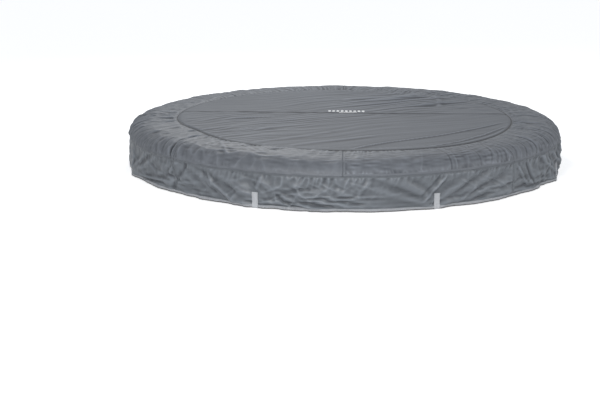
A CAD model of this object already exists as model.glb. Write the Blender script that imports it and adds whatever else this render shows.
"""A large round trampoline under a grey fabric cover with a drawcord hem.

Metres, +Z up, the floor at z = 0 and the trampoline's axis on the Z axis. The front faces -Y.
Places on the cover are given as (phi, run): phi is the azimuth in degrees, 0 at the front and
growing towards +X (right), and run is the length along the cloth, outwards from the axis.
"""
import bpy, math
import numpy as np
from mathutils import Matrix, Vector


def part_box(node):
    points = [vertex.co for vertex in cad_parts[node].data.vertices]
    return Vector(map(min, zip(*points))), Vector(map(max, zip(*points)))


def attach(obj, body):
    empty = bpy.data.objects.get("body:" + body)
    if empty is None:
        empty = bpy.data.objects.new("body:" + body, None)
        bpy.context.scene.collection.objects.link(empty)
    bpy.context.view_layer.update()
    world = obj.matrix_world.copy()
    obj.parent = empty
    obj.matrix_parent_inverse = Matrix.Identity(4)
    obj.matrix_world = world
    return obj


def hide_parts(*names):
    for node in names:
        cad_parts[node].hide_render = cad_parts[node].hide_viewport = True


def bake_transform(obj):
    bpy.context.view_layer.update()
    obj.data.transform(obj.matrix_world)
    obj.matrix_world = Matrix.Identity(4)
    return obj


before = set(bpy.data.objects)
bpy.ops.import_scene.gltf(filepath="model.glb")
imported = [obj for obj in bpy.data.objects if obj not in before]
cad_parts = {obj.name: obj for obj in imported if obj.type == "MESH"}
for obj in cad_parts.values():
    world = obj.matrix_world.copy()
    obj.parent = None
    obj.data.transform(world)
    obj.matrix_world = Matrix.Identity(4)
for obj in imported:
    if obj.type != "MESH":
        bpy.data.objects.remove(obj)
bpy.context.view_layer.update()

# ---------------------------------------------------------------- sizes read from the CAD frame
centre_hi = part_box("cover_centre_front")[1]
R_IN = centre_hi.x                      # inner seam, between the centre and the shoulder
Z_CENTRE = centre_hi.z                  # the taut centre
SEAM_Y = centre_hi.y + 0.0002           # seam between the two centre panels
shoulders = [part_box("cover_shoulder_panel_%d" % k) for k in range(1, 9)]
Z_CROWN = max(box[1].z for box in shoulders)
R_OUT = max(box[1].x for box in shoulders)
Z_SEAM = min(box[0].z for box in shoulders)       # second seam, between shoulder and skirt
hem_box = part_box("hem_binding")
Z_HEM = hem_box[0].z
R_HEM = hem_box[1].x - 0.0018           # outer radius of the skirt at the hem
TAB_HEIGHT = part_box("webbing_tabs")[1].z - Z_HEM
PAD_R_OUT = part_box("pad_upper_skin")[1].x
PAD_R_IN = PAD_R_OUT - 0.270
PAD_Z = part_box("pad_lower_skin")[0].z             # underside of the pad
mat_lo, mat_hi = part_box("mat_fabric")
MAT_Z = (mat_lo.z + mat_hi.z) / 2
rail_lo, rail_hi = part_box("top_rail_1")
RAIL_Z = (rail_lo.z + rail_hi.z) / 2
RAIL_R = 1.504

TAB_PHI = [22.5 + 45.0 * k for k in range(-4, 4)]
TAB_SHIFT = {-67.5: -3.0, -22.5: 1.7, 67.5: 2.5}  # slack cloth lets some tabs sit to one side
TAB_AT = [phi + TAB_SHIFT.get(phi, 0.0) for phi in TAB_PHI]
TAB_R = 1.575                           # radius used to turn widths at the hem into degrees
PER_DEG = 1.5 * math.pi / 180.0         # metres per degree round the shoulder
RING = 360.0 * PER_DEG
DRAPE_R = 1.56                          # mean radius of the draped cloth


# ---------------------------------------------------------------- noise and shaping functions
def perlin(across, down, seed, wrap=0):
    """Gradient noise of about -1..1; `across` repeats every `wrap` cells when wrap > 0."""
    draw = np.random.RandomState(seed)
    size = 1024
    angle = draw.rand(size) * 2 * np.pi
    grad_x, grad_y = np.cos(angle), np.sin(angle)
    perm = draw.permutation(size)
    across, down = np.asarray(across, float), np.asarray(down, float)
    col, row = np.floor(across).astype(int), np.floor(down).astype(int)
    part_x, part_y = across - col, down - row

    def corner(i, j):
        cell = col + i
        if wrap:
            cell = np.mod(cell, wrap)
        pick = perm[(perm[np.mod(cell, size)] + row + j) % size]
        return grad_x[pick] * (part_x - i) + grad_y[pick] * (part_y - j)

    def ease(t):
        return t * t * t * (t * (t * 6 - 15) + 10)

    mix_x, mix_y = ease(part_x), ease(part_y)
    low = corner(0, 0) * (1 - mix_x) + corner(1, 0) * mix_x
    high = corner(0, 1) * (1 - mix_x) + corner(1, 1) * mix_x
    return (low * (1 - mix_y) + high * mix_y) * 1.5


def turn_noise(degrees, cells, down, seed):
    """Noise with `cells` cells in a full turn."""
    return perlin(degrees / 360 * cells, down, seed, cells)


def ring_noise(cell, arc, down, seed, closed=True):
    """Noise with cells about `cell` metres long round the shoulder."""
    count = int(round(RING / cell))
    return perlin((arc / RING + 0.5) * count, down, seed, count if closed else 0)


def ridge(noise, sharp):
    """Rounded ridges with creased valleys."""
    return 1.0 - np.abs(noise) * sharp


def smooth(start, end, x):
    t = np.clip((x - start) / (end - start), 0, 1)
    return t * t * (3 - 2 * t)


def bell(x, centre, width):
    return np.exp(-((x - centre) / width) ** 2)


def wrap_deg(angle):
    return (angle + 180.0) % 360.0 - 180.0


def lobe(phi, centre, width):
    """A bell round the azimuth `centre`."""
    return bell(wrap_deg(phi - centre), 0, width)


def sides(phi):
    """Weights of the left, right, front and back of the cover."""
    return lobe(phi, -78, 34), lobe(phi, 74, 30), lobe(phi, -14, 30), lobe(phi, 180, 75)


def azimuth(x, y):
    return np.degrees(np.arctan2(x, -y))


def around(radius, angle, z):
    """Points at an azimuth given in radians, 0 at the front."""
    places = np.broadcast_arrays(radius * np.sin(angle), -radius * np.cos(angle), z)
    return np.stack(places, -1)


def outward(phi):
    return around(1.0, np.radians(phi), 0.0)


def turned(radius, degrees, z):
    """Points at an angle in degrees from +X, counterclockwise seen from above."""
    angle = np.radians(degrees)
    return np.stack(np.broadcast_arrays(radius * np.cos(angle), radius * np.sin(angle), z), -1)


def polyline_distance(x, y, points):
    """Distance to a polyline, the side (+1 on its left) and the share along it."""
    nearest = np.full(x.shape, 1e9)
    side = np.zeros(x.shape)
    along = np.zeros(x.shape)
    reach = path_length(points)
    for i, ((x0, y0), (x1, y1)) in enumerate(zip(points[:-1], points[1:])):
        dx, dy = x1 - x0, y1 - y0
        t = np.clip(((x - x0) * dx + (y - y0) * dy) / (dx * dx + dy * dy), 0, 1)
        off_x, off_y = x - (x0 + t * dx), y - (y0 + t * dy)
        dist = np.hypot(off_x, off_y)
        closer = dist < nearest
        nearest = np.where(closer, dist, nearest)
        side = np.where(closer, np.sign(dx * off_y - dy * off_x), side)
        share = (reach[i] + t * (reach[i + 1] - reach[i])) / reach[-1]
        along = np.where(closer, share, along)
    return nearest, side, along


def path_length(points):
    """Length along a 2D path at each of its points."""
    return np.concatenate([[0], np.cumsum(np.hypot(*np.diff(points, axis=0).T))])


def fade(along, start=0.18, end=0.82):
    return smooth(0, start, along) * (1 - smooth(end, 1, along))


def catmull_rom(t):
    """Weights of four neighbouring points."""
    return [-0.5 * t + t ** 2 - 0.5 * t ** 3, 1 - 2.5 * t ** 2 + 1.5 * t ** 3,
            0.5 * t + 2 * t ** 2 - 1.5 * t ** 3, -0.5 * t ** 2 + 0.5 * t ** 3]


# ---------------------------------------------------------------- the cover's plain outline
FALL = 0.172                            # width of the fall from the crown to the second seam
POWER = 2.0 / 2.3                       # the fall is a superellipse
CROWN_TOP = Z_CROWN + 0.0030
# (radius, height) from the inner seam over the crown to the second seam
shoulder_line = [
    (R_IN, Z_CENTRE - 0.0045), (R_IN + 0.010, Z_CENTRE - 0.0026),
    (R_IN + 0.035, Z_CROWN - 0.0006), (R_IN + 0.085, Z_CROWN + 0.0026),
    (R_IN + 0.120, CROWN_TOP), (R_OUT - 0.182, CROWN_TOP)]
shoulder_line += [
    (R_OUT - FALL + FALL * math.cos(math.radians(a)) ** POWER,
     Z_SEAM + (CROWN_TOP - Z_SEAM) * math.sin(math.radians(a)) ** POWER)
    for a in range(86, -1, -3)]
# (radius, height) from just above the second seam to the hem
SKIRT_LAP = 0.012
skirt_line = [
    (R_OUT - 0.0022, Z_SEAM + SKIRT_LAP), (R_OUT - 0.0022, Z_SEAM),
    (R_OUT - 0.0055, Z_SEAM - 0.05), (R_OUT - 0.0120, Z_SEAM - 0.12),
    (R_HEM - 0.001, Z_HEM + 0.0035)]
# runs of the two seams and the hem
INNER = R_IN
shoulder_run = path_length(shoulder_line) + INNER
SEAM = shoulder_run[-1]
skirt_run = path_length(skirt_line) + SEAM - SKIRT_LAP
HEM = skirt_run[-1]
TAB_TOP = HEM - TAB_HEIGHT
OUTLINES = {False: (np.array(shoulder_line), shoulder_run),
            True: (np.array(skirt_line), skirt_run)}


def outline(run, skirt, phi):
    """Radius and height of the plain cover, which bulges at the sides below the crown."""
    line, runs = OUTLINES[skirt]
    radius, z = np.interp(run, runs, line[:, 0]), np.interp(run, runs, line[:, 1])
    bulge = (0.021 * smooth(25, 72, np.abs(phi)) * (1 - 0.4 * smooth(110, 150, np.abs(phi)))
             * (1 - 0.85 * lobe(phi, -135.0, 12)))
    weight = smooth(SEAM - 0.20, SEAM - 0.05, run) * (0.55 + 1.10 * smooth(SEAM, HEM, run))
    return radius + bulge * weight, z


def outline_normal(run, skirt, phi, step):
    """Radial and upward parts of the outline's outer normal."""
    first, last = OUTLINES[skirt][1][[0, -1]]
    r0, z0 = outline(np.clip(run - step, first, last), skirt, phi)
    r1, z1 = outline(np.clip(run + step, first, last), skirt, phi)
    dr, dz = r1 - r0, z1 - z0
    length = np.hypot(dr, dz)
    return -dz / length, dr / length


# ---------------------------------------------------------------- folds of the shoulder and skirt
# A deep fold at the front left, from the inner seam to below the second seam: (phi, run)
DEEP_FOLD = [(-47.6, INNER - 0.08), (-49.4, INNER + 0.02), (-50.6, INNER + 0.10),
             (-48.6, SEAM - 0.17), (-46.6, SEAM - 0.02), (-46.0, SEAM + 0.05)]
# Single folds: start of the runs, height (negative is a hollow), half width, (phi, run) points
FOLDS = [
    (0, -0.0100, 0.0120, DEEP_FOLD),
    (0, 0.0056, 0.019, [(-46.6, INNER), (-47.8, INNER + 0.10), (-46.0, SEAM - 0.17),
                        (-43.6, SEAM - 0.02)]),
    (SEAM, -0.0125, 0.021, [(-40.6, -0.02), (-42.2, 0.06), (-44.4, 0.13),
                            (-47.0, HEM + 0.02 - SEAM)]),
    (SEAM, 0.0085, 0.014, [(-43.8, -0.01), (-45.4, 0.05), (-47.6, 0.11)]),
    (HEM, -0.0090, 0.0075, [(-66.0, -0.006), (-57.0, -0.024), (-48.2, -0.040)]),
    (HEM, 0.0050, 0.012, [(-66.0, -0.020), (-57.0, -0.040), (-48.2, -0.060)]),
    (SEAM, -0.0072, 0.0085, [(-16.2, 0.115), (-13.6, 0.185), (-10.5, 0.212), (-7.0, 0.224)]),
    (SEAM, 0.0062, 0.011, [(-15.6, 0.100), (-12.6, 0.165), (-9.0, 0.195), (-6.0, 0.21)]),
    (SEAM, 0.0075, 0.011, [(-34.2, 0.015), (-33.6, 0.06), (-32.4, 0.105), (-29.9, 0.145),
                           (-27.1, 0.195), (-25.6, 0.22)]),
    (SEAM, -0.0050, 0.016, [(-35.4, 0.02), (-35.0, 0.08), (-33.6, 0.13), (-31.0, 0.165)]),
    (SEAM, 0.0070, 0.013, [(-19.0, 0.01), (-19.6, 0.06), (-20.6, 0.11)]),
    (INNER, 0.0040, 0.013, [(-33.8, 0.02), (-28.1, 0.09), (-20.4, 0.24)]),
    (INNER, 0.0036, 0.014, [(-40.3, 0.05), (-33.5, 0.17), (-28.5, 0.30)]),
    (INNER, -0.0028, 0.010, [(-30.0, 0.02), (-24.0, 0.07), (-17.0, 0.15)]),
    (INNER, 0.0058, 0.014, [(-26.0, 0.005), (-14.0, 0.050), (-7.0, 0.085), (-0.5, 0.12)]),
    (INNER, 0.0030, 0.009, [(-18.0, 0.012), (-9.0, 0.030), (-2.0, 0.060)]),
    (SEAM, 0.0085, 0.0085, [(24.9, 0.008), (22.4, 0.085), (19.7, 0.160), (18.4, 0.185)]),
    (SEAM, -0.0055, 0.013, [(23.4, 0.010), (20.8, 0.085), (18.0, 0.155)]),
    (SEAM, 0.0050, 0.006, [(21.7, 0.165), (20.4, 0.224)]),
    (SEAM, 0.0055, 0.012, [(33.5, 0.11), (31.0, 0.155), (28.6, 0.195)]),
    (SEAM, 0.0045, 0.014, [(7.0, 0.02), (4.0, 0.09), (3.5, 0.15)]),
    (0, -0.0007, 0.006, [(27.6, INNER - 0.03), (27.0, INNER + 0.20), (25.6, SEAM + 0.03)]),
    (0, 0.0008, 0.007, [(29.0, INNER - 0.03), (28.4, INNER + 0.20), (27.0, SEAM + 0.03)]),
    (SEAM, 0.0085, 0.012, [(46.3, 0.01), (49.1, 0.11), (52.1, 0.19)]),
    (SEAM, -0.0090, 0.014, [(50.0, 0.00), (52.4, 0.09), (55.4, 0.20)]),
    (SEAM, 0.0110, 0.015, [(57.2, -0.02), (60.0, 0.07), (66.0, 0.15), (71.0, 0.21)]),
    (SEAM, 0.0110, 0.015, [(63.7, -0.01), (69.0, 0.08), (76.8, 0.19)]),
    (HEM, 0.0100, 0.014, [(-67.6, -0.16), (-68.2, -0.08), (-68.6, 0.04)]),
    (INNER, -0.0060, 0.010, [(-134.6, 0.01), (-135.8, 0.10), (-136.4, 0.2)]),
]
FOLD_GAIN = 1.35


def crease(phi, run, start, height, width, points):
    """One fold along (phi, run) points, fading out at both ends."""
    phi0 = points[0][0]
    path = [((a - phi0) * PER_DEG, start + b) for a, b in points]
    dist, _, along = polyline_distance(wrap_deg(phi - phi0) * PER_DEG, run, path)
    return height * np.exp(-(dist / width) ** 2) * fade(along)


def shoulder_folds(phi, run, skirt):
    """Gathers, long folds and lumps; `skirt` is 0 on the shoulder and 1 on the skirt."""
    left, right, front, back = sides(phi)
    arc, out, top = phi * PER_DEG, run - INNER, 1 - skirt
    share = np.clip(out / (SEAM - INNER), 0, 1.6)  # 0 at the inner seam, 1 at the second seam
    # fine gathers at the inner seam, dying outwards
    tilt = (0.62 * lobe(phi, -66, 22) - 0.05 * front + 0.25 * right
            + 0.35 * lobe(phi, -150, 40) - 0.3 * lobe(phi, 150, 40))
    leaning = arc - tilt * out + 0.045 * ring_noise(0.6, arc, run / 0.35, 11)
    gather = ridge(ring_noise(0.052, leaning, out / 0.30, 21), 1.9) - 0.45
    reach = np.exp(-np.maximum(out - 0.01, 0) / 0.085) * smooth(0.0, 0.018, out)
    height = (0.0013 + 0.0018 * left + 0.0014 * front + 0.0030 * lobe(phi, -34, 16)
              + 0.0012 * right + 0.0020 * back)
    h = gather * reach * height * 2.1 * top
    # long radial gathers over the whole shoulder
    sway = 0.02 * ring_noise(0.3, arc, out / 0.12, 5)
    gather = ring_noise(0.085, leaning + sway, out / 0.5 + 3.1, 33)
    gather = np.sign(gather) * np.abs(gather) ** 0.85
    reach = smooth(0.0, 0.06, out) * (1 - 0.35 * share)
    height = (0.0010 + 0.0078 * left * (1 - smooth(0.75, 1.15, share)) + 0.0042 * right
              + 0.0009 * front + 0.0009 * back)
    h += gather * reach * height * 1.7 * (0.35 + 0.65 * top)
    # fans of long folds at the two sides
    spread = arc - 0.30 * out * np.sign(-phi) + 0.03 * ring_noise(0.5, arc, out / 0.2, 36)
    wide = ring_noise(0.115, spread, out / 0.75 + 1.3, 37)
    narrow = ring_noise(0.062, spread, out / 0.45 + 4.3, 38)
    fan = (lobe(phi, -84, 30) + 0.85 * lobe(phi, 72, 24) + 0.5 * lobe(phi, 132, 18)
           + 0.35 * lobe(phi, -140, 20))
    reach = smooth(0.0, 0.05, out) * (1 - 0.45 * smooth(0.7, 1.0, share))
    h += top * fan * reach * 1.25 * (
        -0.0085 * np.clip(1 - np.abs(wide) * 4.4, 0, 1) ** 1.2 + 0.0060 * wide
        - 0.0040 * np.clip(1 - np.abs(narrow) * 3.6, 0, 1))
    # lumps of the pad under the fabric
    lumps = ring_noise(0.34, arc, out / 0.22, 44) + 0.5 * ring_noise(0.15, arc, out / 0.12, 45)
    h += lumps * 0.0026 * top * smooth(0.02, 0.1, out)
    # crossing creases, strongest at the front left
    cross = ridge(ring_noise(0.19, arc + 0.9 * out, out / 0.085 + arc, 51, closed=False), 2.0)
    h += (np.clip(cross, -0.2, 1) * 0.0100 * top * (0.10 + lobe(phi, -26, 20))
          * smooth(0.015, 0.05, out) * (1 - smooth(0.5, 0.9, share)))
    cross = ridge(ring_noise(0.11, arc - 0.5 * out, out / 0.11 + arc * 0.8, 52, closed=False), 2.0)
    weight = 0.16 + 1.3 * lobe(phi, -38, 26) + 0.5 * lobe(phi, 70, 24) + 0.4 * back
    h += np.clip(cross, -0.3, 1) * 0.0034 * top * weight * smooth(0.02, 0.07, out)
    # thin long pulls between the two seams
    pull = ridge(ring_noise(0.11, arc + 0.35 * out, out / 0.8 + 5.0, 53), 3.2)
    weight = 0.12 + 1.4 * left + 0.7 * right + 0.15 * back
    h += (np.clip(pull, 0, 1) ** 1.5 * 0.0028 * weight * smooth(0.0, 0.03, out)
          * (1 - 0.6 * skirt))
    return h


def seam_puckers(phi, run, skirt):
    """Short puckers just above and below the second seam."""
    _, right, _, back = sides(phi)
    arc, below = phi * PER_DEG, run - SEAM
    upper = ridge(ring_noise(0.036, arc - 0.2 * below, below / 0.09, 60), 2.2)
    weight = (0.35 + 0.5 * ring_noise(0.4, arc, 0.6, 63) + 0.6 * lobe(phi, -6, 22)
              + 0.7 * right + 0.4 * back)
    h = ((1 - skirt) * np.clip(upper, -0.2, 1) * 0.0013
         * np.exp(-((below + 0.016) / 0.022) ** 2) * weight)
    lower = ridge(ring_noise(0.042, arc + 0.25 * below, below / 0.11, 61), 2.0)
    length = 0.045 - 0.025 * lobe(phi, 24, 13)
    reach = np.exp(-np.maximum(below - 0.012, 0) / length) * smooth(0.0, 0.010, below)
    weight = (0.30 + 0.9 * lobe(phi, -2, 18) + 0.9 * lobe(phi, 24, 11)
              + 0.5 * ring_noise(0.5, arc, 0.3, 62) + 0.5 * right + 0.35 * back)
    return h + (lower - 0.35) * reach * skirt * 0.0070 * weight


def skirt_folds(phi, run, skirt):
    """Soft leaning folds with creased edges, and deep gathers at the right and the back."""
    _, right, _, back = sides(phi)
    arc, below = phi * PER_DEG, run - SEAM
    warp = 0.05 * ring_noise(0.45, arc, below / 0.12, 71)
    broad = ring_noise(0.20, arc + warp + 0.35 * below, below / 0.26 + 7.7, 72)
    small = ring_noise(0.11, arc - 0.6 * below + warp * 0.7, below / 0.15 + 2.2, 73)
    crest = ridge(ring_noise(0.16, arc + 0.8 * below, below / 0.13, 74), 2.2)
    fine = ridge(ring_noise(0.085, arc - 1.1 * below + warp, below / 0.09, 75), 2.4)
    edge_a = ring_noise(0.25, arc - 0.7 * below + 1.6 * warp, below / 0.19 + 3.3, 76)
    edge_b = ring_noise(0.18, arc + 1.2 * below + warp, below / 0.15 + 8.1, 77)
    thin = (0.0105 * np.clip(1 - np.abs(edge_a) * 3.6, 0, 1) ** 1.4
            + 0.0052 * np.clip(1 - np.abs(edge_b) * 3.6, 0, 1) ** 1.4)
    crumple = (0.30 + 0.90 * lobe(phi, -14, 17) + 0.35 * right + 0.3 * back
               - 0.25 * lobe(phi, 14, 7))
    calm = 1 - 0.55 * lobe(phi, 15, 8) - 0.45 * lobe(phi, -78, 22)
    h = skirt * smooth(0.0, 0.09, below) * (
        calm * (0.0100 * broad + 0.0045 * small)
        + crumple * (thin + 0.0040 * np.clip(crest, -0.4, 1) + 0.0030 * np.clip(fine, -0.3, 1)))
    sway = 0.035 * ring_noise(0.25, arc, run / 0.16, 82)
    deep = ring_noise(0.105, arc - 0.10 * below + sway, run / 0.42, 81)
    deep = 1.0 - 2.0 * np.abs(deep) ** 0.8
    h += deep * 0.0115 * lobe(phi, 72, 22) * smooth(SEAM - 0.07, SEAM + 0.05, run)
    h += (deep * 0.0055 * (lobe(phi, 150, 22) + lobe(phi, -125, 20))
          * smooth(SEAM - 0.05, SEAM + 0.05, run))
    return h


def seam_distance(phi, first, step):
    """Distance from the nearest radial seam, where seams lie at first + n * step."""
    return np.abs((phi - first + step / 2) % step - step / 2) * PER_DEG


def under_tab(phi, run):
    """1 where the webbing tabs hold the fabric."""
    apart = np.min([np.abs(wrap_deg(phi - tab)) for tab in TAB_AT], axis=0)
    return np.exp(-(apart * PER_DEG / 0.050) ** 2) * smooth(HEM - 0.14, HEM - 0.09, run)


def displacement(phi, run):
    """Outward movement of the shoulder and skirt fabric off the plain outline."""
    skirt = smooth(SEAM - 0.002, SEAM + 0.006, run)
    top = 1 - skirt
    h = (shoulder_folds(phi, run, skirt) + seam_puckers(phi, run, skirt)
         + skirt_folds(phi, run, skirt))
    for start, height, width, points in FOLDS:
        near = np.abs(wrap_deg(phi - points[0][0])) < 30
        h[near] += FOLD_GAIN * crease(phi[near], run[near], start, height, width, points)
    # radial seams lie in a groove, on the shoulder between two low rolls
    dist = seam_distance(phi, 0.0, 45.0)
    h += top * (0.0010 * bell(dist, 0.009, 0.005) - 0.0014 * bell(dist, 0, 0.0042))
    h -= skirt * 0.0012 * bell(seam_distance(phi, 45.0, 90.0), 0, 0.0042)
    # the shoulder's edge stands over the skirt
    h += 0.0008 * (top * bell(run, SEAM, 0.011) - skirt * bell(run, SEAM, 0.010))
    return h * (1 - 0.93 * under_tab(phi, run))


def hem_pull(phi, run):
    """Between the tabs the skirt is pulled straighter: inset and lift."""
    between = np.sin(np.radians((phi - 22.5) * 4.0)) ** 2
    between = between * (1 - np.exp(-(wrap_deg(phi + 135.0) / 7.0) ** 4))
    weight = smooth(SEAM + 0.01, HEM, run)
    uneven = 1.0 + 0.35 * turn_noise(phi + 180, 8, 0.4, 91)
    wave = turn_noise(phi + 180, 96, 0.7, 92)
    return (weight * between * (0.007 * uneven + 0.004 * wave),
            weight * between * (0.0020 * uneven + 0.0014 * wave))


# top of the padded ring under the cover: distance from its inner edge, height over its underside
pad_top = np.array([
    (-0.004, 0.0085), (0.004, 0.0125), (0.012, 0.0140), (0.030, 0.0148), (0.055, 0.0153),
    (0.085, 0.0156), (0.115, 0.0156), (0.145, 0.0154), (0.175, 0.0146), (0.200, 0.0131),
    (0.222, 0.0111), (0.240, 0.0084), (0.254, 0.0050), (0.263, 0.0008), (0.2675, -0.0060),
    (0.274, -0.0500)]) + (PAD_R_IN, PAD_Z)


def over_pad(radius, z):
    """The cloth lies on the pad: its deepest folds stop there."""
    soft = 0.0035
    low = np.interp(radius, *pad_top.T, left=-1.0, right=-1.0) + 0.0030
    gap = z - low
    return np.where(gap < soft, low + soft * np.exp(np.minimum(gap - soft, 0) / soft), z)


def seam_wobble(phi):
    """Radial movement of the inner seam, which is not a perfect circle."""
    pull = -0.055 * lobe(phi, -57, 15) + 0.040 * lobe(phi, 38, 22)
    return (pull + 0.0035 * turn_noise(phi + 180, 30, 0.5, 95)
            + 0.0025 * turn_noise(phi + 180, 9, 0.2, 96))


def shell_points(phi, run, skirt, offset=0.0):
    """Points of the draped cover, `offset` outside its outer face."""
    phi, run = np.broadcast_arrays(np.atleast_1d(phi), run)
    radius, z = outline(run, skirt, phi)
    normal_r, normal_z = outline_normal(run, skirt, phi, 1e-3)
    h = displacement(phi, run) + offset
    if not skirt:
        h = h * smooth(0.0, 0.012, run - INNER)
    radius = radius + normal_r * h
    z = z + normal_z * h
    if skirt:
        inset, lift = hem_pull(phi, run)
        radius, z = radius - inset, z + lift
    else:
        # the crown slumps a little at the back
        z = z - lobe(phi, 180, 60) * 0.0035 * smooth(0.05, 0.2, run - INNER)
    moved = drape_at(phi, run) * (1 - 0.9 * under_tab(phi, run))[..., None]
    radius = radius + moved[..., 0]
    z = z + (moved[..., 2] * (1 - smooth(HEM - 0.07, HEM - 0.01, run))
             * (1 - 0.6 * lobe(phi, 180, 60)))
    z = np.maximum(z, Z_HEM + 0.0030)
    over = z - (Z_CROWN + 0.003)
    z = np.where(over > 0, Z_CROWN + 0.003 + 0.010 * np.tanh(over / 0.010), z)
    if not skirt:
        radius = radius + seam_wobble(phi) * (1 - smooth(0.0, 0.24, run - INNER))
        z = over_pad(radius, z)
    return around(radius, np.radians(phi) + moved[..., 1] / DRAPE_R, z)


# ---------------------------------------------------------------- the centre of the cover
# Folds: height, half width, height of the shallow flank on the right-hand side of the path,
# (x, y) points
CENTRE_FOLDS = [
    (0.0038, 0.012, -0.0022, [(0.014, -1.238), (0.15, -1.09), (0.298, -0.965),
                              (0.679, -0.70), (1.015, -0.386), (1.225, -0.16)]),
    (0.0038, 0.012, -0.0024, [(0.508, -1.150), (0.776, -0.935), (0.98, -0.68), (1.19, -0.34)]),
    (0.0055, 0.035, 0.0, [(-0.035, 0.724), (0.324, 0.897), (0.646, 1.06)]),
    (0.0050, 0.030, 0.0, [(-0.034, 0.554), (0.37, 0.849), (0.55, 0.93)]),
    (0.0050, 0.030, 0.0, [(0.374, 0.957), (0.60, 0.935), (0.803, 0.907)]),
    (0.0060, 0.028, 0.0, [(0.76, 0.95), (0.775, 0.70), (0.754, 0.429)]),
    (0.0045, 0.035, 0.0, [(0.50, 0.62), (0.78, 0.50), (1.02, 0.36), (1.18, 0.28)]),
    (0.0045, 0.028, 0.0, [(-1.143, -0.437), (-0.92, -0.27), (-0.718, -0.106)]),
    (0.0040, 0.026, 0.0, [(-1.02, -0.60), (-0.75, -0.40), (-0.45, -0.24)]),
    (0.0040, 0.026, 0.0, [(-0.956, -0.693), (-0.70, -0.55), (-0.48, -0.459)]),
    (0.0042, 0.030, 0.0, [(-0.644, -1.02), (-0.36, -0.83), (-0.062, -0.598)]),
    (0.0030, 0.030, 0.0, [(-0.40, -1.12), (-0.10, -0.93), (0.25, -0.72)]),
]


def seam_y(x):
    """The seam between the two centre panels bows slightly."""
    bow = np.cos(np.clip((x + 0.35) / 0.75, -1, 1) * math.pi / 2) ** 2
    return (SEAM_Y + 0.020 * bow - 0.010 * smooth(0.1, 0.4, x)
            + 0.004 * perlin(x / 0.35, 0.3, 105))


def centre_z(x, y):
    """Height of the taut centre."""
    radius = np.hypot(x, y)
    phi = azimuth(x, y)
    z = Z_CENTRE - 0.0035 * (1 - (radius / R_IN) ** 2)
    # long tension wrinkles running from the front left to the back right
    turn = math.radians(27)
    along = x * math.cos(turn) + y * math.sin(turn)
    across = -x * math.sin(turn) + y * math.cos(turn) + 0.10 * perlin(x / 0.7, y / 0.7, 101)
    broad = perlin(along / 0.85, across / 0.135, 102)
    small = perlin(along / 0.50, across / 0.070, 103)
    sharp = ridge(perlin(along / 0.60 + 3.0, across / 0.085, 106), 2.6)
    fine = perlin(along / 0.48 + 1.7, across / 0.060, 107)
    back_right = bell(x, 0.55, 0.55) * bell(y, 0.72, 0.42)
    left = bell(x, -0.75, 0.55) * bell(y, -0.30, 0.50)
    back_left = bell(x, -0.5, 0.5) * bell(y, 0.8, 0.3)
    inside = 1 - smooth(R_IN - 0.09, R_IN - 0.01, radius)
    z += (inside * (0.0013 + 0.0060 * back_right + 0.0075 * left + 0.0020 * back_left)
          * (broad + 0.55 * small))
    z += (inside * np.clip(sharp, -0.2, 1)
          * (0.0004 + 0.0042 * back_right + 0.0056 * left + 0.0012 * back_left))
    z += inside * fine * (0.0002 + 0.0135 * back_right + 0.0030 * left)
    # short radial gathers along the inner seam
    gather = ridge(turn_noise(phi + 180, 150, radius / 0.30, 104), 1.9)
    reach = (smooth(R_IN - 0.16, R_IN - 0.02, radius)
             * (1 - smooth(R_IN - 0.02, R_IN, radius)))
    z += gather * reach * 0.0020 * (0.25 + lobe(phi, -80, 30) + 0.7 * lobe(phi, 160, 40)
                                    + 0.3 * lobe(phi, 110, 30))
    for height, width, flank, points in CENTRE_FOLDS:
        dist, side, share = polyline_distance(x, y, points)
        fold = (height * np.exp(-(dist / width) ** 2)
                + np.where(side < 0, flank, 0.0) * bell(dist, 0, 0.11) * smooth(0.0, width, dist))
        z += fold * fade(share, 0.12, 0.88) * (1 - smooth(R_IN - 0.03, R_IN, radius))
    # the seam between the two centre panels lies in a slight valley
    dist = np.abs(y - seam_y(x))
    z += 0.0012 * bell(dist, 0.035, 0.02) - 0.0030 * bell(dist, 0, 0.016)
    # down into the crease at the inner seam
    gap = R_IN + seam_wobble(phi) - radius
    return (z + (Z_CENTRE - 0.0045 - z) * smooth(0.030, 0.0, gap)
            - 0.0012 * bell(gap, 0.012, 0.01))


# ---------------------------------------------------------------- mesh helpers
# A geometry is (vertices, list of face arrays), one array for each number of corners.
def make_mesh(name, vertices, faces, material=None):
    mesh = bpy.data.meshes.new(name)
    vertices = np.asarray(vertices, np.float32).reshape(-1, 3)
    faces = [np.asarray(group, np.int32) for group in faces]
    corners = np.concatenate([group.ravel() for group in faces])
    totals = np.concatenate([np.full(len(g), g.shape[1], np.int32) for g in faces])
    starts = np.concatenate([[0], np.cumsum(totals)[:-1]]).astype(np.int32)
    mesh.vertices.add(len(vertices))
    mesh.vertices.foreach_set("co", vertices.ravel())
    mesh.loops.add(len(corners))
    mesh.loops.foreach_set("vertex_index", corners)
    mesh.polygons.add(len(totals))
    mesh.polygons.foreach_set("loop_start", starts)
    mesh.polygons.foreach_set("loop_total", totals)
    mesh.polygons.foreach_set("use_smooth", np.full(len(totals), True))
    mesh.update(calc_edges=True)
    mesh.validate()
    ob = bpy.data.objects.new(name, mesh)
    bpy.context.scene.collection.objects.link(ob)
    if material is not None:
        mesh.materials.append(material)
    return ob


def piece(name, geometry, material, body, slot, *nodes):
    """Makes a mesh that moves with `body` and stands in for the CAD `nodes`."""
    ob = make_mesh(name, *geometry, material)
    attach(ob, body)
    if nodes:
        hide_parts(*nodes)
    return ob


def blended(name, geometry, material):
    """Makes a mesh stretched between two bodies; `weights` is 1 at the second."""
    ob = make_mesh(name, *geometry, material)
    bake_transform(ob)
    return ob


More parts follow.
